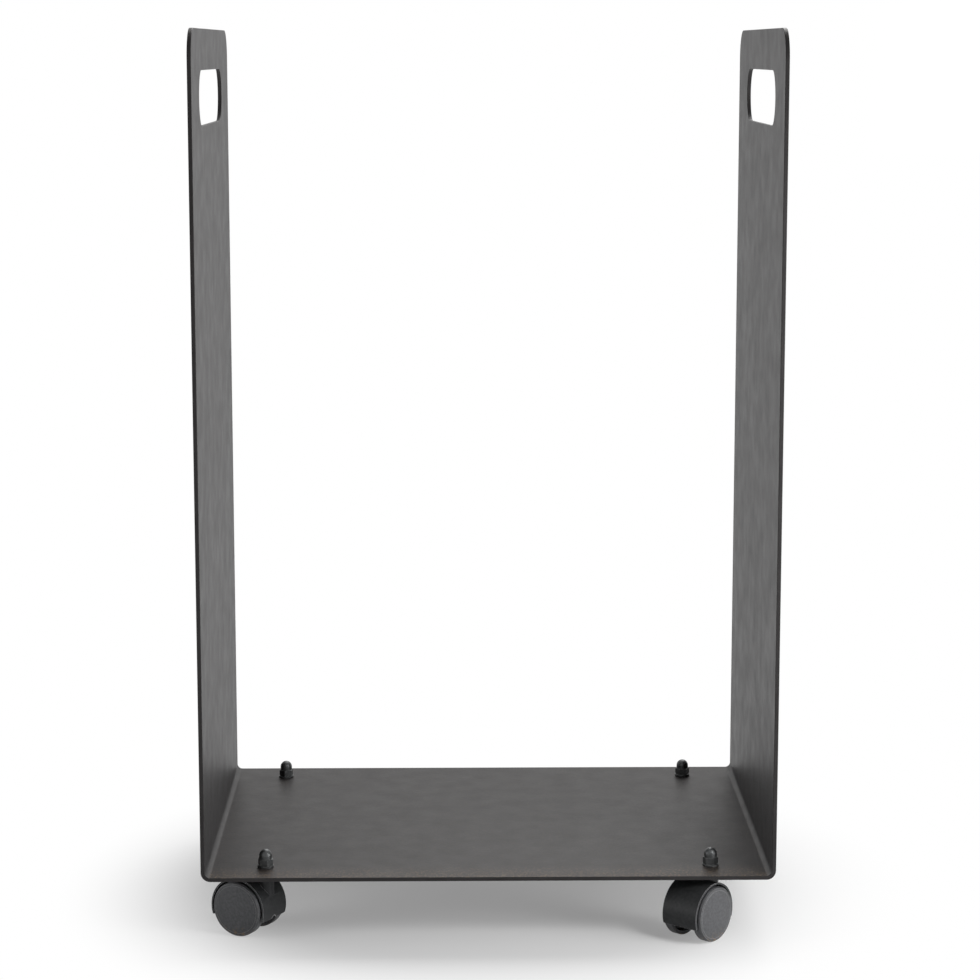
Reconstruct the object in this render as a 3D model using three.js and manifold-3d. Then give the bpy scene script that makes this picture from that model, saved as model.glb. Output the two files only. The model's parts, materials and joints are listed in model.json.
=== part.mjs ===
// Fireside log cart: one steel sheet bent into a U, open at the front, back and top, with a hand slot near
// the top of each side, on four hooded twin-wheel swivel castors whose stems are held by cap nuts in the tray.
// Millimetres. +X right, +Y away from the front, +Z up. The origin is on the floor under the cart's middle.

import * as THREE from 'three';
import { mergeVertices } from 'three/addons/utils/BufferGeometryUtils.js';
import Module from 'manifold-3d';

const wasm = await Module();
wasm.setup();

// ---------------------------------------------------------------- driving dimensions

// Sheet body
const bodyWidth = 420;              // over the outer faces of the two sides
const bodyDepth = 300;
const sideHeight = 615;             // from the underside of the base to the top edge of a side
const sheetThickness = 3;
const bendRadius = 4;               // inside radius where the base turns up into a side
const cornerRadius = 22;            // top corners of a side, front and back
const slotLength = 185;
const slotHeight = 40;
const slotDrop = 30;                // from a side's top edge down to the slot

// Castors
const mountingHeight = 48;          // from the floor to the underside of the base
const stemInsetX = 45.5;            // from a side's outer face to the stem
const stemInsetY = 27;              // from the base's front or back edge to the stem
const trail = 15.5;                 // from the stem sideways to the axle
const frontLeftHeading = 150;       // degrees from +X: the way the trail points
const frontRightHeading = 229;

// Wheel
const wheelRadius = 20.5;
const castorHalfWidth = 17;         // from the middle of a castor to the edge of a wheel's outer face
const faceCrown = 0.6;              // how far the middle of that face stands out past its edge
const faceBevel = 0.9;
const treadWidth = 7;
const rimThickness = 2.6;
const wheelWall = 2;
const hubRadius = 5;

// Housing: a hood over both wheels on one middle web, and the boss that turns on the stem
const hoodHalfWidth = 15;
const hoodGap = 1.5;                // round the wheels
const hoodThickness = 1.2;
const hoodSkirt = 7.4;              // from the axle down to the hood's two lower edges
const webThickness = 6;
const bossRadius = 6;
const bossBottom = 17.4;            // height above the floor
const clipPocketRadius = 7;

// Axle, stem and fasteners
const axleRadius = 2;
const pinRadius = 3.5;              // the plain part of the stem, which the boss turns on
const pinTail = 1.9;                // below the boss, for the clip
const collarRadius = 6;
const collarHeight = 1.5;
const threadRadius = 2.9;
const stemHoleRadius = 3.3;
const clipRadius = 6;
const clipThickness = 0.8;
const clipGrooveDepth = 0.8;
const clipMouth = 80;               // degrees left open in the clip
const washerRadius = 6;
const washerThickness = 1.6;
const nutAcrossFlats = 10;
const nutHexHeight = 5;
const nutHeight = 12;
const nutDomeRadius = 4.75;
const nutBoreDepth = 8.5;

// Clearances and facets
const runningGap = 0.3;             // between a turning piece and what it turns on or in
const hubGap = 0.4;                 // between the web and a wheel's hub
const threadGap = 0.3;
const wheelFacets = 30;
const hoodFacets = 22;              // along the hood's arc
const roundFacets = 16;
const arcFacets = 6;                // in a quarter circle of the sheet
const overrun = 5;                  // how far a cutting solid runs past what it cuts

// ---------------------------------------------------------------- places that follow from them

const baseUnderside = mountingHeight;
const baseTop = baseUnderside + sheetThickness;
const sideTop = baseUnderside + sideHeight;
const axleHeight = wheelRadius;
const hoodInnerRadius = wheelRadius + hoodGap;
const hoodOuterRadius = hoodInnerRadius + hoodThickness;
const collarBottom = baseUnderside - collarHeight;
const bossTop = collarBottom - runningGap;
const pinBottom = bossBottom - pinTail;
const clipTop = bossBottom - runningGap;
const nutBottom = baseTop + washerThickness;
const stemTop = nutBottom + nutBoreDepth - threadGap;
const wheelSkin = castorHalfWidth - wheelWall;
const axleHalfLength = wheelSkin - runningGap;

// ---------------------------------------------------------------- materials

function paint(color, roughness, metalness) {
  return new THREE.MeshStandardMaterial({ color, roughness, metalness });
}

const powderCoat = paint(0x2b2c2e, 0.6, 0.1);
const housingPlastic = paint(0x343638, 0.55, 0);
const wheelPlastic = paint(0x4a4b4d, 0.5, 0);
const brightSteel = paint(0x9a9c9e, 0.35, 0.9);
const darkSteel = paint(0x3a3b3d, 0.4, 0.8);

// ---------------------------------------------------------------- solids

const radians = THREE.MathUtils.degToRad;

function solid(geometry) {
  const bare = geometry.clone();
  bare.deleteAttribute('normal');
  bare.deleteAttribute('uv');
  const merged = mergeVertices(bare, 1e-4);
  return new wasm.Manifold(new wasm.Mesh({
    numProp: 3,
    vertProperties: Float32Array.from(merged.attributes.position.array),
    triVerts: Uint32Array.from(merged.index.array),
  }));
}

function geometryOf(manifold) {
  const { vertProperties, triVerts } = manifold.getMesh();
  const geometry = new THREE.BufferGeometry();
  geometry.setAttribute('position', new THREE.BufferAttribute(vertProperties, 3));
  geometry.setIndex(new THREE.BufferAttribute(triVerts, 1));
  geometry.computeVertexNormals();
  return geometry;
}

// A shape drawn in (x, z), extruded along Y about the middle.
function extrudeAlongY(shape, length, curveSegments = arcFacets) {
  const geometry = new THREE.ExtrudeGeometry(shape, { depth: length, bevelEnabled: false, curveSegments });
  return geometry.translate(0, 0, -length / 2).rotateX(Math.PI / 2);
}

// A shape drawn in (y, z), extruded along X about the middle.
function extrudeAlongX(shape, length, curveSegments = arcFacets) {
  const geometry = new THREE.ExtrudeGeometry(shape, { depth: length, bevelEnabled: false, curveSegments });
  return geometry.translate(0, 0, -length / 2).rotateX(Math.PI / 2).rotateZ(Math.PI / 2);
}

// An upright cylinder from one height to another.
function upright(radius, bottom, top, x = 0, y = 0) {
  const geometry = new THREE.CylinderGeometry(radius, radius, top - bottom, roundFacets);
  return geometry.rotateX(Math.PI / 2).translate(x, y, (bottom + top) / 2);
}

// A profile of (radius, height) points turned about the upright axis.
function turned(points, facets = roundFacets) {
  const profile = points.map(([radius, height]) => new THREE.Vector2(radius, height));
  return new THREE.LatheGeometry(profile, facets).rotateX(Math.PI / 2);
}

// ---------------------------------------------------------------- sheet body

// The bent sheet seen from the front: base, two bends and two sides.
function bentSection() {
  const outer = bodyWidth / 2;
  const inner = outer - sheetThickness;
  const outerBend = bendRadius + sheetThickness;
  const section = new THREE.Shape();
  section.moveTo(-outer, sideTop);
  section.lineTo(-outer, baseUnderside + outerBend);
  section.absarc(-outer + outerBend, baseUnderside + outerBend, outerBend, Math.PI, 1.5 * Math.PI, false);
  section.lineTo(outer - outerBend, baseUnderside);
  section.absarc(outer - outerBend, baseUnderside + outerBend, outerBend, -0.5 * Math.PI, 0, false);
  section.lineTo(outer, sideTop);
  section.lineTo(inner, sideTop);
  section.lineTo(inner, baseTop + bendRadius);
  section.absarc(inner - bendRadius, baseTop + bendRadius, bendRadius, 0, -0.5 * Math.PI, true);
  section.lineTo(-inner + bendRadius, baseTop);
  section.absarc(-inner + bendRadius, baseTop + bendRadius, bendRadius, -0.5 * Math.PI, -Math.PI, true);
  section.lineTo(-inner, sideTop);
  return section;
}

// The cart seen from the side: round top corners, and the hand slot as a hole.
function sideOutline() {
  const front = -bodyDepth / 2;
  const back = bodyDepth / 2;
  const outline = new THREE.Shape();
  outline.moveTo(front, baseUnderside - overrun);
  outline.lineTo(back, baseUnderside - overrun);
  outline.lineTo(back, sideTop - cornerRadius);
  outline.absarc(back - cornerRadius, sideTop - cornerRadius, cornerRadius, 0, 0.5 * Math.PI, false);
  outline.lineTo(front + cornerRadius, sideTop);
  outline.absarc(front + cornerRadius, sideTop - cornerRadius, cornerRadius, 0.5 * Math.PI, Math.PI, false);

  const endRadius = slotHeight / 2;
  const endCentre = slotLength / 2 - endRadius;
  const slotCentre = sideTop - slotDrop - endRadius;
  const slot = new THREE.Path();
  slot.absarc(endCentre, slotCentre, endRadius, -0.5 * Math.PI, 0.5 * Math.PI, false);
  slot.absarc(-endCentre, slotCentre, endRadius, 0.5 * Math.PI, 1.5 * Math.PI, false);
  outline.holes.push(slot);
  return outline;
}

function sheetBody(stemPlaces) {
  let body = solid(extrudeAlongY(bentSection(), bodyDepth + 2 * overrun));
  body = body.intersect(solid(extrudeAlongX(sideOutline(), bodyWidth + 2 * overrun, 2 * arcFacets)));
  for (const [x, y] of stemPlaces) {
    body = body.subtract(solid(upright(stemHoleRadius, baseUnderside - overrun, baseTop + overrun, x, y)));
  }
  return geometryOf(body);
}

// ---------------------------------------------------------------- castor, its stem on the Z axis and its axle
// trail away along +X

function housing() {
  // Angle below the level of the axle at which the hood's outside reaches its lower edge.
  const skirtAngle = Math.asin(hoodSkirt / hoodOuterRadius);
  const innerSkirtAngle = Math.asin(hoodSkirt / hoodInnerRadius);
  const hoodSection = new THREE.Shape();
  hoodSection.absarc(trail, axleHeight, hoodOuterRadius, -skirtAngle, Math.PI + skirtAngle, false);
  hoodSection.absarc(trail, axleHeight, hoodInnerRadius, Math.PI + innerSkirtAngle, -innerSkirtAngle, true);

  const webRadius = (hoodInnerRadius + hoodOuterRadius) / 2;
  const webAngle = Math.asin(hoodSkirt / webRadius);
  const webSection = new THREE.Shape();
  webSection.absarc(trail, axleHeight, webRadius, -webAngle, Math.PI + webAngle, false);

  const bore = pinRadius + runningGap;
  let shell = solid(extrudeAlongY(hoodSection, 2 * hoodHalfWidth, hoodFacets));
  shell = shell.add(solid(extrudeAlongY(webSection, webThickness, hoodFacets)));
  shell = shell.add(solid(upright(bossRadius, bossBottom, bossTop)));
  shell = shell.subtract(solid(upright(clipPocketRadius, bossBottom - 2 * overrun, bossBottom)));
  shell = shell.subtract(solid(upright(bore, bossBottom - overrun, bossTop + overrun)));
  const axleBore = new THREE.CylinderGeometry(
    axleRadius + runningGap, axleRadius + runningGap, webThickness + overrun, roundFacets);
  shell = shell.subtract(solid(axleBore.translate(trail, 0, axleHeight)));
  return geometryOf(shell);
}

// One wheel, turned about the axle: a crowned face, a tread and a hub with a blind bore, open on the inside.
// The facets of its tread touch the true circle, and one of them lies on the floor.
function wheel(side) {
  const facetReach = 1 / Math.cos(Math.PI / wheelFacets);
  const tread = wheelRadius * facetReach;
  const bore = axleRadius + runningGap;
  const points = [
    [0, wheelSkin],
    [bore, wheelSkin],
    [bore, webThickness / 2 + hubGap],
    [hubRadius, webThickness / 2 + hubGap],
    [hubRadius, wheelSkin],
    [tread - rimThickness, wheelSkin],
    [tread - rimThickness, castorHalfWidth - treadWidth],
    [tread, castorHalfWidth - treadWidth],
    [tread, castorHalfWidth - faceBevel],
    [tread - faceBevel, castorHalfWidth],
    [0, castorHalfWidth + faceCrown],
  ];
  const profile = points.map(([radius, along]) => new THREE.Vector2(radius, along));
  const geometry = new THREE.LatheGeometry(profile, wheelFacets, Math.PI / wheelFacets);
  if (side < 0) geometry.rotateZ(Math.PI);
  return geometry.translate(trail, 0, axleHeight);
}

function axle() {
  const geometry = new THREE.CylinderGeometry(axleRadius, axleRadius, 2 * axleHalfLength, roundFacets);
  return geometry.translate(trail, 0, axleHeight);
}

// The stem: a plain pin with a groove for the clip, a collar under the base, and the threaded end above.
function stem() {
  const grooveRadius = pinRadius - clipGrooveDepth;
  const grooveBottom = clipTop - clipThickness - runningGap;
  return turned([
    [0, pinBottom],
    [pinRadius, pinBottom],
    [pinRadius, grooveBottom],
    [grooveRadius, grooveBottom],
    [grooveRadius, clipTop + runningGap / 2],
    [pinRadius, clipTop + runningGap / 2],
    [pinRadius, collarBottom],
    [collarRadius, collarBottom],
    [collarRadius, baseUnderside],
    [threadRadius, baseUnderside],
    [threadRadius, stemTop],
    [0, stemTop],
  ]);
}

// An open ring in the stem's groove, which keeps the housing from dropping off.
function retainingClip() {
  const innerRadius = pinRadius - clipGrooveDepth + runningGap;
  const half = radians(clipMouth) / 2;
  const ring = new THREE.Shape();
  ring.absarc(0, 0, clipRadius, half, 2 * Math.PI - half, false);
  ring.absarc(0, 0, innerRadius, 2 * Math.PI - half, half, true);
  const geometry = new THREE.ExtrudeGeometry(ring, {
    depth: clipThickness, bevelEnabled: false, curveSegments: roundFacets / 2,
  });
  return geometry.translate(0, 0, clipTop - clipThickness);
}

function washer() {
  return turned([
    [stemHoleRadius, baseTop],
    [washerRadius, baseTop],
    [washerRadius, nutBottom],
    [stemHoleRadius, nutBottom],
    [stemHoleRadius, baseTop],
  ]);
}

// A six-sided nut closed by a dome over the stem's end.
function capNut() {
  const corner = nutAcrossFlats / 2 / Math.cos(Math.PI / 6);
  const hex = new THREE.CylinderGeometry(corner, corner, nutHexHeight, 6);
  hex.rotateX(Math.PI / 2).translate(0, 0, nutBottom + nutHexHeight / 2);

  const domeCentre = nutBottom + nutHeight - nutDomeRadius;
  const domeSteps = arcFacets;
  const dome = [[0, nutBottom + nutHexHeight / 2], [nutDomeRadius, nutBottom + nutHexHeight / 2]];
  for (let step = 0; step < domeSteps; step += 1) {
    const angle = (0.5 * Math.PI * step) / domeSteps;
    dome.push([nutDomeRadius * Math.cos(angle), domeCentre + nutDomeRadius * Math.sin(angle)]);
  }
  dome.push([0, nutBottom + nutHeight]);

  const bore = upright(threadRadius + threadGap, nutBottom - overrun, nutBottom + nutBoreDepth);
  return geometryOf(solid(hex).add(solid(turned(dome))).subtract(solid(bore)));
}

// ---------------------------------------------------------------- the cart

function named(name, geometry, material) {
  const mesh = new THREE.Mesh(geometry, material);
  mesh.name = name;
  return mesh;
}

const stemX = bodyWidth / 2 - stemInsetX;
const stemY = bodyDepth / 2 - stemInsetY;

// The back castors stand as the front ones do, turned half a turn about the cart's middle.
const corners = [
  { name: 'front_left', x: -stemX, y: -stemY, heading: frontLeftHeading },
  { name: 'front_right', x: stemX, y: -stemY, heading: frontRightHeading },
  { name: 'back_left', x: -stemX, y: stemY, heading: frontRightHeading + 180 },
  { name: 'back_right', x: stemX, y: stemY, heading: frontLeftHeading + 180 },
];

const cart = new THREE.Group();
cart.add(named('sheet_body', sheetBody(corners.map(({ x, y }) => [x, y])), powderCoat));

for (const { name, x, y, heading } of corners) {
  const fixed = new THREE.Group();
  fixed.position.set(x, y, 0);
  fixed.add(named(`${name}_stem`, stem(), brightSteel));
  fixed.add(named(`${name}_retaining_clip`, retainingClip(), brightSteel));
  fixed.add(named(`${name}_washer`, washer(), darkSteel));
  fixed.add(named(`${name}_cap_nut`, capNut(), darkSteel));

  const castor = new THREE.Group();
  castor.position.set(x, y, 0);
  castor.rotation.z = radians(heading);
  castor.add(named(`${name}_castor_housing`, housing(), housingPlastic));
  castor.add(named(`${name}_axle`, axle(), brightSteel));
  castor.add(named(`${name}_left_wheel`, wheel(1), wheelPlastic));
  castor.add(named(`${name}_right_wheel`, wheel(-1), wheelPlastic));
  cart.add(fixed, castor);
}

export default cart;
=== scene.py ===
# Fireside log cart: one bent and powder-coated sheet on four hooded twin-wheel swivel castors.
import json
import math

import bpy
from mathutils import Matrix, Vector


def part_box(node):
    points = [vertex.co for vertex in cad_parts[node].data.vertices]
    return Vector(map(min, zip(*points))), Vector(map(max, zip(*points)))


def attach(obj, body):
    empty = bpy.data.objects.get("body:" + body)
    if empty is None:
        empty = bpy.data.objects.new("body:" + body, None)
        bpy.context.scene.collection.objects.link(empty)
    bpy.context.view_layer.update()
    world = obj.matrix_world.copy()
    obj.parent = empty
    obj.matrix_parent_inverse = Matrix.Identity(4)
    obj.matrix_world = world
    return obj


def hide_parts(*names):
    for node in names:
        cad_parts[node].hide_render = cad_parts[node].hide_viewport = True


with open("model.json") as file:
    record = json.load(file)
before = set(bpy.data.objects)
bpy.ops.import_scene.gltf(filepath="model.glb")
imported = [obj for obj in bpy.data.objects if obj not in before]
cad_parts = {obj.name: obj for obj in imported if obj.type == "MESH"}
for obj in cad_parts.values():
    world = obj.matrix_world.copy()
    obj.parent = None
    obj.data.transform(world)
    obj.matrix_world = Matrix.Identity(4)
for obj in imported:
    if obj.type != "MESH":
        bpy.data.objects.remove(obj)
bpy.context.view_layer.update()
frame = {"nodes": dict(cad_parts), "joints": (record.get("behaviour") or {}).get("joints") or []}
joints = {joint["name"]: joint for joint in frame["joints"]}

# Sizes in metres, the same as the solids'.
SHEET_THICKNESS = 0.003
BEND_RADIUS = 0.004                 # inside the bend
CORNER_RADIUS = 0.022
SLOT_LENGTH = 0.185
SLOT_HEIGHT = 0.040
SLOT_DROP = 0.030                   # from the top of a side to its slot
STEM_HOLE_RADIUS = 0.0033
TRAIL = 0.0155                      # from a castor's stem to its axle
AXLE_HEIGHT = 0.0205
HOOD_OUTER_RADIUS = 0.0232
HOOD_INNER_RADIUS = 0.0220
HOOD_HALF_WIDTH = 0.015
HOOD_SKIRT = 0.0074                 # how far the hood reaches below the axle
WEB_THICKNESS = 0.006
BOSS_RADIUS = 0.006
BOSS_BOTTOM = 0.0174
BOSS_TOP = 0.0462
CLIP_POCKET_RADIUS = 0.007
STEM_BORE_RADIUS = 0.0038
AXLE_BORE_RADIUS = 0.0023
NUT_HALF_ACROSS_FLATS = 0.005
NUT_HEIGHT = 0.005
NUT_MIDDLE = 0.0551                 # above the floor
NUT_BORE_RADIUS = 0.0032

# How far edges are rounded, in metres.
SHEET_EDGE = 0.0005
HOUSING_EDGE = 0.00035
HOOD_FOOT = 0.0024
NUT_EDGE = 0.00018

RIB_COUNT = 6
RIB_LOW = (0.0045, -0.0006, 0.0118)
RIB_HIGH = (0.0182, 0.0006, 0.0154)

OVERRUN = 0.05                      # how far a cutting block reaches past what it cuts
SLOT_END_FLAT = 0.0001              # left between a slot end's two roundings, on each side of its middle
SAME_PLACE = 0.00001                # places closer than this count as one
NEARLY_PARALLEL = 0.8               # an edge with more of its direction than this along an axis runs along it

# How far each castor's cap nut is turned about its stem, in degrees.
NUT_TURNS = {"front_left": 16, "front_right": 18, "back_left": -9, "back_right": 34}


# ---------------------------------------------------------------- modelling

def hold(piece):
    """Selects one piece alone and makes it active."""
    bpy.ops.object.select_all(action="DESELECT")
    piece.select_set(True)
    bpy.context.view_layer.objects.active = piece


def settle(piece):
    """Puts a piece's place, turn and scale into its mesh."""
    hold(piece)
    bpy.ops.object.transform_apply(location=True, rotation=True, scale=True)


def block(name, low, high):
    """A box between two opposite corners."""
    low, high = Vector(low), Vector(high)
    bpy.ops.object.select_all(action="DESELECT")
    bpy.ops.mesh.primitive_cube_add(size=1, location=(low + high) / 2)
    piece = bpy.context.active_object
    piece.name = name
    piece.scale = high - low
    settle(piece)
    return piece


def rod(name, radius, length, middle, along="Z", sides=96):
    """A cylinder about its middle, along Z or Y."""
    bpy.ops.object.select_all(action="DESELECT")
    turn = (math.pi / 2, 0, 0) if along == "Y" else (0, 0, 0)
    bpy.ops.mesh.primitive_cylinder_add(
        vertices=sides, radius=radius, depth=length, location=middle, rotation=turn)
    piece = bpy.context.active_object
    piece.name = name
    settle(piece)
    return piece


def round_edges(piece, chosen, radius, segments):
    """Rounds the edges whose middle and direction pass the test."""
    hold(piece)
    bpy.ops.object.mode_set(mode="EDIT")
    bpy.ops.mesh.select_mode(type="EDGE")
    bpy.ops.mesh.select_all(action="DESELECT")
    bpy.ops.object.mode_set(mode="OBJECT")
    points = piece.data.vertices
    for edge in piece.data.edges:
        a, b = (points[i].co for i in edge.vertices)
        edge.select = chosen((a + b) / 2, (b - a).normalized())
    bpy.ops.object.mode_set(mode="EDIT")
    bpy.ops.mesh.bevel(offset=radius, segments=segments, profile=0.5, affect="EDGES", clamp_overlap=False)
    bpy.ops.object.mode_set(mode="OBJECT")


def combine(piece, tool, operation):
    """Cuts, joins or crosses a piece with another, which is used up."""
    hold(piece)
    change = piece.modifiers.new("change", "BOOLEAN")
    change.operation = operation
    change.solver = "EXACT"
    change.object = tool
    bpy.ops.object.modifier_apply(modifier=change.name)
    bpy.data.objects.remove(tool, do_unlink=True)


def ease_edges(piece, width, segments=3):
    """Rounds every sharp edge a little."""
    hold(piece)
    eased = piece.modifiers.new("eased edges", "BEVEL")
    eased.width = width
    eased.segments = segments
    eased.limit_method = "ANGLE"
    eased.angle_limit = math.radians(35)
    eased.use_clamp_overlap = True
    bpy.ops.object.modifier_apply(modifier=eased.name)


def smooth_over(piece):
    """Shades a piece smooth where its faces meet at a low angle."""
    hold(piece)
    bpy.ops.object.shade_smooth_by_angle(angle=math.radians(40))
    weights = piece.modifiers.new("weighted normals", "WEIGHTED_NORMAL")
    weights.keep_sharp = True
    bpy.ops.object.modifier_apply(modifier=weights.name)


def turned(name, profile, steps):
    """A piece turned about +Z from a closed or pole-to-pole profile of (radius, height) in millimetres."""
    profile = [(radius / 1000, height / 1000) for radius, height in profile]
    bpy.ops.object.select_all(action="DESELECT")
    bpy.ops.mesh.primitive_circle_add(vertices=3, radius=0.001, location=(0, 0, 0))
    piece = bpy.context.active_object
    piece.name = name
    bpy.ops.object.mode_set(mode="EDIT")
    bpy.ops.mesh.select_mode(type="VERT")
    bpy.ops.mesh.select_all(action="SELECT")
    bpy.ops.mesh.merge(type="CENTER")
    bpy.ops.transform.translate(value=(profile[0][0], 0, profile[0][1]))
    for (radius, height), (next_radius, next_height) in zip(profile, profile[1:]):
        bpy.ops.mesh.extrude_vertices_move(
            TRANSFORM_OT_translate={"value": (next_radius - radius, 0, next_height - height)})
    bpy.ops.mesh.select_all(action="SELECT")
    bpy.ops.mesh.spin(steps=steps, angle=2 * math.pi, center=(0, 0, 0), axis=(0, 0, 1))
    bpy.ops.mesh.select_all(action="SELECT")
    bpy.ops.mesh.remove_doubles(threshold=0.000004)
    bpy.ops.mesh.normals_make_consistent(inside=False)
    bpy.ops.object.mode_set(mode="OBJECT")
    settle(piece)
    return piece


def place_copy(master, name, matrix):
    piece = master.copy()
    piece.data = master.data.copy()
    piece.name = name
    bpy.context.collection.objects.link(piece)
    piece.matrix_world = matrix
    settle(piece)
    smooth_over(piece)
    return piece


# ---------------------------------------------------------------- shader nodes

def connect(tree, value, socket):
    """Gives a socket a number, or links it to another socket."""
    if isinstance(value, (int, float)):
        socket.default_value = value
    else:
        tree.links.new(value, socket)


def arithmetic(tree, operation, *values, clamped=False):
    """A Math node between sockets or numbers."""
    step = tree.nodes.new("ShaderNodeMath")
    step.operation = operation
    step.use_clamp = clamped
    for value, socket in zip(values, step.inputs):
        connect(tree, value, socket)
    return step.outputs[0]


def remap(tree, value, before, after=(0.0, 1.0), soft=False):
    """A Map Range node, which takes one range to another and holds what is outside it at its ends."""
    step = tree.nodes.new("ShaderNodeMapRange")
    if soft:
        step.interpolation_type = "SMOOTHSTEP"
    for label, limit in zip(("From Min", "From Max", "To Min", "To Max"), (*before, *after)):
        step.inputs[label].default_value = limit
    tree.links.new(value, step.inputs["Value"])
    return step.outputs["Result"]


def coordinate(tree, kind, axis):
    """One axis of a kind of texture coordinate."""
    place = tree.nodes.new("ShaderNodeTexCoord")
    parts = tree.nodes.new("ShaderNodeSeparateXYZ")
    tree.links.new(place.outputs[kind], parts.inputs[0])
    return parts.outputs[axis]


def noise(tree, scale, detail):
    place = tree.nodes.new("ShaderNodeTexCoord")
    texture = tree.nodes.new("ShaderNodeTexNoise")
    texture.inputs["Detail"].default_value = detail
    tree.links.new(place.outputs["Object"], texture.inputs["Vector"])
    connect(tree, scale, texture.inputs["Scale"])
    return texture.outputs["Fac"]


# ---------------------------------------------------------------- effects that several materials share

def effect(name, inputs, outputs):
    """An empty node group, with its input and output nodes."""
    group = bpy.data.node_groups.new(name, "ShaderNodeTree")
    for way, labels in (("INPUT", inputs), ("OUTPUT", outputs)):
        for label in labels:
            group.interface.new_socket(name=label, in_out=way, socket_type="NodeSocketFloat")
    return group, group.nodes.new("NodeGroupInput"), group.nodes.new("NodeGroupOutput")


def make_surface_grain():
    """Fine grain on a slow unevenness, and softly changing patches."""
    group, given, result = effect(
        "surface grain", ["Fineness", "Unevenness", "Patchiness"], ["Height", "Patches"])
    fine = noise(group, given.outputs["Fineness"], 3)
    uneven = arithmetic(group, "MULTIPLY", noise(group, given.outputs["Unevenness"], 2), 1.6)
    group.links.new(arithmetic(group, "ADD", fine, uneven), result.inputs["Height"])
    cloudy = noise(group, given.outputs["Patchiness"], 5)
    patches = arithmetic(group, "MULTIPLY_ADD", cloudy, 2.4, -0.7, clamped=True)
    group.links.new(patches, result.inputs["Patches"])
    return group


def make_edge_wear_and_highlight():
    """Where a surface turns away from its rounded self, broken up by noise. It marks worn edges, and where a
    material gives it a light colour it also paints highlight lines along the edges.
    """
    group, given, result = effect("edge wear", ["Reach"], ["Mask"])
    rounded = group.nodes.new("ShaderNodeBevel")
    rounded.samples = 6
    group.links.new(given.outputs["Reach"], rounded.inputs["Radius"])
    surface = group.nodes.new("ShaderNodeNewGeometry")
    facing = group.nodes.new("ShaderNodeVectorMath")
    facing.operation = "DOT_PRODUCT"
    group.links.new(rounded.outputs["Normal"], facing.inputs[0])
    group.links.new(surface.outputs["Normal"], facing.inputs[1])
    bent = arithmetic(group, "SUBTRACT", 1.0, facing.outputs["Value"])
    strong = arithmetic(group, "MULTIPLY", bent, 6.0)
    broken = arithmetic(group, "MULTIPLY", strong, noise(group, 60, 3))
    group.links.new(arithmetic(group, "MINIMUM", broken, 1.0), result.inputs["Mask"])
    return group


def make_settled_dust():
    """Specks on faces that look up, and more of them along the front edge."""
    front_starts, front_full = -0.118, -0.150
    group, given, result = effect("settled dust", ["Everywhere", "Front edge"], ["Mask"])
    surface = group.nodes.new("ShaderNodeNewGeometry")
    parts = group.nodes.new("ShaderNodeSeparateXYZ")
    group.links.new(surface.outputs["Normal"], parts.inputs[0])
    facing_up = arithmetic(group, "MAXIMUM", parts.outputs["Z"], 0.0)
    flat_top = arithmetic(group, "POWER", facing_up, 8.0)
    near_front = remap(group, coordinate(group, "Object", "Y"), (front_starts, front_full), soft=True)
    at_front = arithmetic(group, "MULTIPLY", near_front, given.outputs["Front edge"])
    amount = arithmetic(group, "ADD", at_front, given.outputs["Everywhere"])
    specks = remap(group, noise(group, 700, 4), (0.52, 0.66), (0.12, 1.0))
    settled = arithmetic(group, "MULTIPLY", flat_top, amount)
    group.links.new(arithmetic(group, "MULTIPLY", settled, specks), result.inputs["Mask"])
    return group


def make_tread_dirt():
    """Specks on the lowest part of a wheel, where it has picked them up from the floor."""
    dirt_ends, dirt_full = 0.010, 0.001
    group, _, result = effect("tread dirt", [], ["Mask"])
    low = remap(group, coordinate(group, "Object", "Z"), (dirt_ends, dirt_full), soft=True)
    specks = remap(group, noise(group, 520, 4), (0.54, 0.66))
    group.links.new(arithmetic(group, "MULTIPLY", low, specks), result.inputs["Mask"])
    return group


surface_grain = make_surface_grain()
edge_wear_and_highlight = make_edge_wear_and_highlight()
settled_dust = make_settled_dust()
tread_dirt_specks = make_tread_dirt()


# ---------------------------------------------------------------- materials

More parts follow.
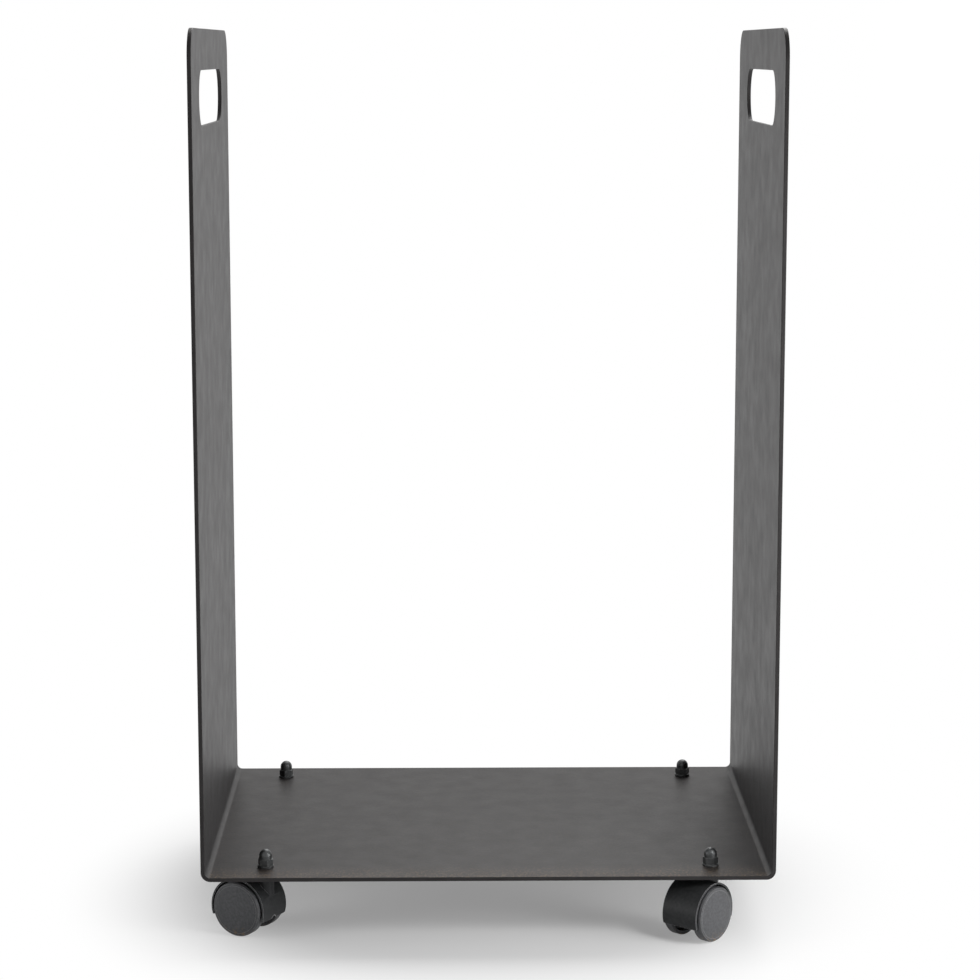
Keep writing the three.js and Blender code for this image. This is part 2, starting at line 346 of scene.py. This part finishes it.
def finish_material(name, dark, light, roughness, rough_range, fineness, unevenness, patchiness, bump,
                    metallic=0.0, wear_and_highlight=None, dust=None, tread_dirt=None, reflection_colour=(1, 1, 1)):
    """A finish with patches of two close colours, a fine grain, and where given lighter edges, dust and dirt.
    The lighter edges are partly wear and partly painted highlight.
    """
    material = bpy.data.materials.new(name)
    material.use_nodes = True
    tree = material.node_tree
    shader = tree.nodes["Principled BSDF"]
    shader.inputs["Metallic"].default_value = metallic
    if not metallic:
        shader.inputs["IOR"].default_value = 1.25
        shader.inputs["Specular Tint"].default_value = (*reflection_colour, 1)

    def shared(group, **values):
        node = tree.nodes.new("ShaderNodeGroup")
        node.node_tree = group
        for label, value in values.items():
            node.inputs[label.replace("_", " ")].default_value = value
        return node

    def blend(mask, under, over):
        mixer = tree.nodes.new("ShaderNodeMix")
        mixer.data_type = "RGBA"
        tree.links.new(mask, mixer.inputs["Factor"])
        for label, colour in (("A", under), ("B", over)):
            socket = [s for s in mixer.inputs if s.name == label and s.type == "RGBA"][0]
            if isinstance(colour, tuple):
                socket.default_value = (*colour, 1)
            else:
                tree.links.new(colour, socket)
        return [s for s in mixer.outputs if s.type == "RGBA"][0]

    grain = shared(surface_grain, Fineness=fineness, Unevenness=unevenness, Patchiness=patchiness)
    colour = blend(grain.outputs["Patches"], dark, light)
    # Lightens the edges: worn edges, and painted highlight lines along the rims where the edge colour is
    # light.
    if wear_and_highlight:
        edge_lightening = shared(edge_wear_and_highlight, Reach=wear_and_highlight["reach"])
        faint = arithmetic(tree, "MULTIPLY", edge_lightening.outputs["Mask"], wear_and_highlight["strength"])
        colour = blend(faint, colour, wear_and_highlight["colour"])
    if dust:
        settled = shared(settled_dust, Everywhere=dust["everywhere"], Front_edge=dust["front"])
        colour = blend(settled.outputs["Mask"], colour, dust["colour"])
    if tread_dirt:
        specks = shared(tread_dirt_specks)
        colour = blend(specks.outputs["Mask"], colour, tread_dirt)
    tree.links.new(colour, shader.inputs["Base Color"])

    rough = remap(tree, grain.outputs["Patches"], (0.0, 1.0), (roughness, roughness + rough_range))
    tree.links.new(rough, shader.inputs["Roughness"])

    relief = tree.nodes.new("ShaderNodeBump")
    relief.inputs["Strength"].default_value = bump
    relief.inputs["Distance"].default_value = 0.0001
    tree.links.new(grain.outputs["Height"], relief.inputs["Height"])
    tree.links.new(relief.outputs["Normal"], shader.inputs["Normal"])
    return material


# Each slot's material.
materials = {
    "powder_coat": finish_material(
        "powder coat", dark=(0.0200, 0.0190, 0.0190), light=(0.0285, 0.0272, 0.0275),
        roughness=0.41, rough_range=0.09, fineness=2200, unevenness=400, patchiness=55, bump=0.50,
        wear_and_highlight={"reach": 0.0006, "strength": 0.40, "colour": (0.15, 0.145, 0.145)},
        dust={"everywhere": 0.10, "front": 0.65, "colour": (0.17, 0.12, 0.075)},
        reflection_colour=(1.0, 0.955, 0.965)),
    "housing_plastic": finish_material(
        "housing plastic", dark=(0.020, 0.021, 0.022), light=(0.034, 0.035, 0.036),
        roughness=0.38, rough_range=0.14, fineness=2600, unevenness=420, patchiness=420, bump=0.35,
        # Light edge colour: painted highlight along the hood rims, with some wear.
        wear_and_highlight={"reach": 0.0007, "strength": 0.85, "colour": (0.30, 0.30, 0.31)}),
    "wheel_plastic": finish_material(
        "wheel plastic", dark=(0.058, 0.059, 0.062), light=(0.092, 0.093, 0.098),
        roughness=0.38, rough_range=0.16, fineness=3000, unevenness=420, patchiness=560, bump=0.35,
        # Light edge colour: painted highlight along the face edge and rim, with some wear.
        wear_and_highlight={"reach": 0.0007, "strength": 0.80, "colour": (0.34, 0.335, 0.33)},
        tread_dirt=(0.16, 0.115, 0.075)),
    "bright_steel": finish_material(
        "bright steel", dark=(0.42, 0.42, 0.43), light=(0.58, 0.58, 0.59),
        roughness=0.26, rough_range=0.14, fineness=3000, unevenness=700, patchiness=150, bump=0.08,
        metallic=1.0),
    "dark_steel": finish_material(
        "dark steel", dark=(0.050, 0.052, 0.053), light=(0.085, 0.088, 0.089),
        roughness=0.34, rough_range=0.16, fineness=2600, unevenness=700, patchiness=300, bump=0.16,
        metallic=0.7, wear_and_highlight={"reach": 0.0004, "strength": 0.5, "colour": (0.30, 0.30, 0.30)}),
}


def set_material(piece, material):
    piece.data.materials.clear()
    piece.data.materials.append(material)


def dress(piece, slot, body, node):
    """Gives a finished piece its slot's material, hangs it on a body, and hides the node it stands in for."""
    set_material(piece, materials[slot])
    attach(piece, body)
    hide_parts(node)


# ---------------------------------------------------------------- bent sheet

def model_sheet():
    """A block bent round an open room, with its top corners rounded, two hand slots and four stem holes."""
    low, high = (Vector(corner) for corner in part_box("sheet_body"))
    t = SHEET_THICKNESS

    def front_to_back_at(height):
        return lambda middle, way: abs(way.y) > NEARLY_PARALLEL and abs(middle.z - height) < SAME_PLACE

    def side_to_side_at(height):
        return lambda middle, way: abs(way.x) > NEARLY_PARALLEL and abs(middle.z - height) < SAME_PLACE

    sheet = block("bent_sheet", low, high)
    round_edges(sheet, front_to_back_at(low.z), BEND_RADIUS + t, segments=12)
    round_edges(sheet, side_to_side_at(high.z), CORNER_RADIUS, segments=18)

    room = block("room", (low.x + t, low.y - OVERRUN, low.z + t),
                 (high.x - t, high.y + OVERRUN, high.z + 2 * OVERRUN))
    round_edges(room, front_to_back_at(low.z + t), BEND_RADIUS, segments=12)
    combine(sheet, room, "DIFFERENCE")

    top = high.z - SLOT_DROP
    slots = block("slots", (low.x - OVERRUN, -SLOT_LENGTH / 2, top - SLOT_HEIGHT),
                  (high.x + OVERRUN, SLOT_LENGTH / 2, top))
    round_edges(slots, lambda middle, way: abs(way.x) > NEARLY_PARALLEL,
                SLOT_HEIGHT / 2 - SLOT_END_FLAT, segments=16)
    combine(sheet, slots, "DIFFERENCE")
    for corner in NUT_TURNS:
        stem_at = joints[corner + "_swivel"]["pos_m"]
        middle = (stem_at[0], stem_at[1], low.z + t / 2)
        combine(sheet, rod("hole", STEM_HOLE_RADIUS, length=0.02, middle=middle, sides=48), "DIFFERENCE")
    ease_edges(sheet, SHEET_EDGE)
    smooth_over(sheet)
    return sheet


dress(model_sheet(), "powder_coat", "cart", "sheet_body")


# ---------------------------------------------------------------- castor pieces, modelled once
# Each stands with its stem on the Z axis and its axle TRAIL away along +X, but for the wheel, which has its
# axle on the Z axis.

def cut_below(piece, height):
    """Cuts off what a castor piece has below a height."""
    past_castor_low, past_castor_high = (-0.05, -0.05, -0.05), (0.08, 0.05, height)
    combine(piece, block("below", past_castor_low, past_castor_high), "DIFFERENCE")


def model_housing():
    """A hood over both wheels, and a web between them that holds the axle and the boss round the stem."""
    axle = (TRAIL, 0, AXLE_HEIGHT)
    foot = AXLE_HEIGHT - HOOD_SKIRT
    width = 2 * HOOD_HALF_WIDTH
    housing = rod("housing", HOOD_OUTER_RADIUS, width, axle, along="Y", sides=128)
    combine(housing, rod("hollow", HOOD_INNER_RADIUS, 2 * width, axle, along="Y", sides=128), "DIFFERENCE")
    cut_below(housing, foot)

    def foot_corner(middle, way):
        at_rim = abs(abs(middle.y) - HOOD_HALF_WIDTH) < SAME_PLACE
        return at_rim and abs(middle.z - foot) < SAME_PLACE and abs(way.x) > NEARLY_PARALLEL

    round_edges(housing, foot_corner, HOOD_FOOT, segments=6)

    web_radius = (HOOD_INNER_RADIUS + HOOD_OUTER_RADIUS) / 2
    web = rod("web", web_radius, WEB_THICKNESS, axle, along="Y", sides=128)
    cut_below(web, foot)
    combine(housing, web, "UNION")
    boss_middle = (0, 0, (BOSS_TOP + BOSS_BOTTOM) / 2)
    combine(housing, rod("boss", BOSS_RADIUS, BOSS_TOP - BOSS_BOTTOM, boss_middle, sides=64), "UNION")

    pocket_depth = 0.01
    pocket_middle = (0, 0, BOSS_BOTTOM - pocket_depth / 2)
    for cut in (
        rod("clip pocket", CLIP_POCKET_RADIUS, pocket_depth, pocket_middle, sides=64),
        rod("stem bore", STEM_BORE_RADIUS, length=0.08, middle=(0, 0, 0.03), sides=48),
        rod("axle bore", AXLE_BORE_RADIUS, 2 * WEB_THICKNESS, axle, along="Y", sides=32),
    ):
        combine(housing, cut, "DIFFERENCE")
    ease_edges(housing, HOUSING_EDGE)
    return housing


def model_wheel():
    """Turned about +Z, which becomes the axle: a crowned face at the top, a deep rim, a hub and six ribs."""
    wheel = turned("wheel", [
        (0, 15.0), (2.3, 15.0), (2.3, 3.7), (2.6, 3.4), (4.7, 3.4), (5.0, 3.7), (5.0, 14.5), (5.5, 15.0),
        (17.4, 15.0), (17.9, 14.5), (17.9, 10.3), (18.2, 10.0), (20.2, 10.0), (20.5, 10.3), (20.5, 15.55),
        # The sharp turn at 19.65 mm is where the painted highlight line along the face edge shows.
        (20.42, 15.75), (19.65, 16.92), (18.0, 17.03), (17.9, 16.95), (17.8, 17.05), (16.0, 17.2),
        (12.0, 17.38), (8.0, 17.5), (4.0, 17.57), (0, 17.6),
    ], steps=96)
    for step in range(RIB_COUNT):
        rib = block("rib", RIB_LOW, RIB_HIGH)
        rib.matrix_world = Matrix.Rotation(math.radians(360 // RIB_COUNT * step + 30), 4, "Z")
        settle(rib)
        combine(wheel, rib, "UNION")
    return wheel


def model_stem():
    """A pin with a groove for its clip, a collar and a threaded end, which is left plain."""
    return turned("stem", [
        (0, 15.5), (3.1, 15.5), (3.5, 15.9), (3.5, 16.0), (2.7, 16.0), (2.7, 17.25), (3.5, 17.25),
        (3.5, 46.5), (5.7, 46.5), (6.0, 46.8), (6.0, 48.0), (2.9, 48.0), (2.9, 60.5), (2.6, 60.8), (0, 60.8),
    ], steps=64)


def model_washer():
    return turned("washer", [
        (3.3, 51.0), (5.8, 51.0), (6.0, 51.2), (6.0, 52.4), (5.8, 52.6), (3.3, 52.6), (3.3, 51.0),
    ], steps=64)


def model_cap_nut():
    """A hexagon with chamfered corners under a dome, bored from below."""
    middle = (0, 0, NUT_MIDDLE)
    nut = rod("nut", NUT_HALF_ACROSS_FLATS / math.cos(math.pi / 6), NUT_HEIGHT, middle, sides=6)
    chamfer = turned(
        "chamfer", [(0, 52.6), (5.0, 52.6), (5.9, 53.1), (5.9, 57.1), (5.0, 57.6), (0, 57.6)], steps=96)
    combine(nut, chamfer, "INTERSECT")
    dome_radius, dome_centre = 4.75, 59.85
    angles = [math.radians(degrees) for degrees in range(0, 90, 9)]
    curve = [(dome_radius * math.cos(a), dome_centre + dome_radius * math.sin(a)) for a in angles]
    dome = turned("dome", [(0, 55.0), (dome_radius, 55.0), *curve, (0, 64.6)], steps=64)
    combine(nut, dome, "UNION")
    combine(nut, rod("bore", NUT_BORE_RADIUS, length=0.012, middle=middle, sides=48), "DIFFERENCE")
    ease_edges(nut, NUT_EDGE, segments=2)
    return nut


masters = {
    "castor_housing": model_housing(), "wheel": model_wheel(), "stem": model_stem(),
    "washer": model_washer(), "cap_nut": model_cap_nut(),
}
at_axle = Matrix.Translation((TRAIL, 0, AXLE_HEIGHT))
wheel_sides = {
    "left": at_axle @ Matrix.Rotation(-math.pi / 2, 4, "X"),
    "right": at_axle @ Matrix.Rotation(math.pi / 2, 4, "X"),
}

for corner, nut_turn in NUT_TURNS.items():
    stem_at = Vector(joints[corner + "_swivel"]["pos_m"])
    axle_at = Vector(joints[corner + "_left_wheel_spin"]["pos_m"])
    heading = math.atan2(axle_at.y - stem_at.y, axle_at.x - stem_at.x)
    standing = Matrix.Translation((stem_at.x, stem_at.y, 0))
    trailing = standing @ Matrix.Rotation(heading, 4, "Z")

    for kind, slot, degrees in (
        ("stem", "bright_steel", 0), ("washer", "dark_steel", 0), ("cap_nut", "dark_steel", nut_turn),
    ):
        turn = Matrix.Rotation(math.radians(degrees), 4, "Z")
        piece = place_copy(masters[kind], f"{corner}_{kind}_piece", standing @ turn)
        dress(piece, slot, "cart", f"{corner}_{kind}")
    moulding = place_copy(masters["castor_housing"], f"{corner}_castor_moulding", trailing)
    dress(moulding, "housing_plastic", f"{corner}_castor", f"{corner}_castor_housing")
    for side, turn in wheel_sides.items():
        wheel = place_copy(masters["wheel"], f"{corner}_{side}_wheel_moulding", trailing @ turn)
        dress(wheel, "wheel_plastic", f"{corner}_{side}_wheel", f"{corner}_{side}_wheel")
    for kept in ("axle", "retaining_clip"):
        node = frame["nodes"][f"{corner}_{kept}"]
        for material_slot in node.material_slots:
            material_slot.material = materials["bright_steel"]

for master in masters.values():
    bpy.data.objects.remove(master, do_unlink=True)


# ---------------------------------------------------------------- studio

def looked_along(tree):
    """1 for what the camera sees, directly, mirrored or through something."""
    ray = tree.nodes.new("ShaderNodeLightPath")
    seen = arithmetic(tree, "MAXIMUM", ray.outputs["Is Camera Ray"], ray.outputs["Is Glossy Ray"])
    return arithmetic(tree, "MAXIMUM", seen, ray.outputs["Is Transmission Ray"])


def make_floor():
    """A pale floor that keeps the shadow near the cart and runs out into the white backdrop."""
    fade_starts, white_from, white_at_middle = 0.18, 0.34, 0.25
    bpy.ops.object.select_all(action="DESELECT")
    bpy.ops.mesh.primitive_plane_add(size=30, location=(0, 0, 0))
    floor = bpy.context.active_object
    floor.name = "studio_floor"
    settle(floor)
    material = bpy.data.materials.new("studio floor")
    material.use_nodes = True
    tree = material.node_tree
    tree.nodes.remove(tree.nodes["Principled BSDF"])
    matt = tree.nodes.new("ShaderNodeBsdfDiffuse")
    matt.inputs["Color"].default_value = (0.86, 0.86, 0.86, 1)
    white = tree.nodes.new("ShaderNodeEmission")
    white.inputs["Strength"].default_value = 1.0
    place = tree.nodes.new("ShaderNodeTexCoord")
    reach = tree.nodes.new("ShaderNodeVectorMath")
    reach.operation = "LENGTH"
    tree.links.new(place.outputs["Object"], reach.inputs[0])
    fade = remap(tree, reach.outputs["Value"], (fade_starts, white_from), (white_at_middle, 1.0), soft=True)
    mixed = tree.nodes.new("ShaderNodeMixShader")
    tree.links.new(arithmetic(tree, "MULTIPLY", fade, looked_along(tree)), mixed.inputs[0])
    tree.links.new(matt.outputs[0], mixed.inputs[1])
    tree.links.new(white.outputs[0], mixed.inputs[2])
    tree.links.new(mixed.outputs[0], tree.nodes["Material Output"].inputs["Surface"])
    set_material(floor, material)


def make_world():
    """White to the camera and in reflections. To matt surfaces it is brightest behind and on the right."""
    world = bpy.data.worlds.new("studio")
    bpy.context.scene.world = world
    world.use_nodes = True
    tree = world.node_tree
    background = tree.nodes["Background"]
    background.inputs["Color"].default_value = (1, 1, 1, 1)
    behind = remap(tree, coordinate(tree, "Generated", "Y"), (-0.55, 0.25), (0.05, 1.0), soft=True)
    rightward = remap(tree, coordinate(tree, "Generated", "X"), (-0.5, 0.5), (0.72, 1.15))
    overhead = remap(tree, coordinate(tree, "Generated", "Z"), (0.3, 1.0), (1.0, 0.35))
    around = arithmetic(tree, "MULTIPLY", arithmetic(tree, "MULTIPLY", behind, rightward), overhead)
    strength = arithmetic(tree, "MAXIMUM", around, looked_along(tree))
    tree.links.new(strength, background.inputs["Strength"])


def softbox(name, place, target, size, power):
    """A square lamp that the camera does not see, facing its target."""
    lamp = bpy.data.lights.new(name, "AREA")
    lamp.shape = "SQUARE"
    lamp.size = size
    lamp.energy = power
    holder = bpy.data.objects.new(name, lamp)
    bpy.context.collection.objects.link(holder)
    holder.visible_camera = False
    holder.location = place
    holder.rotation_euler = (Vector(target) - Vector(place)).to_track_quat("-Z", "Y").to_euler()


def make_camera(place, down, right, lens, upward_shift):
    """A camera pitched down and turned right by degrees, with its lens in millimetres on a 36 mm sensor."""
    data = bpy.data.cameras.new("camera")
    data.lens = lens
    data.sensor_width = 36
    data.shift_y = upward_shift
    camera = bpy.data.objects.new("camera", data)
    bpy.context.collection.objects.link(camera)
    camera.location = place
    camera.rotation_euler = (math.radians(90 - down), 0, -math.radians(right))
    bpy.context.scene.camera = camera


make_floor()
make_world()
softbox("right softbox", place=(0.92, -0.55, 0.22), target=(0.15, -0.10, 0.20), size=0.4, power=6)
softbox("right corner softbox", place=(0.47, -0.47, 0.45), target=(0.20, -0.15, 0.30), size=0.2, power=1.8)
softbox("left softbox", place=(-0.78, -0.32, 0.20), target=(-0.18, -0.15, 0.03), size=0.3, power=1.5)
softbox("back softbox", place=(0.35, 1.5, 1.9), target=(0, 0, 0.1), size=1.2, power=26)
make_camera(place=(-0.0245, -2.018, 0.6475), down=8.791, right=0.779, lens=97.53, upward_shift=-0.03)
bpy.context.scene.view_settings.view_transform = "Standard"
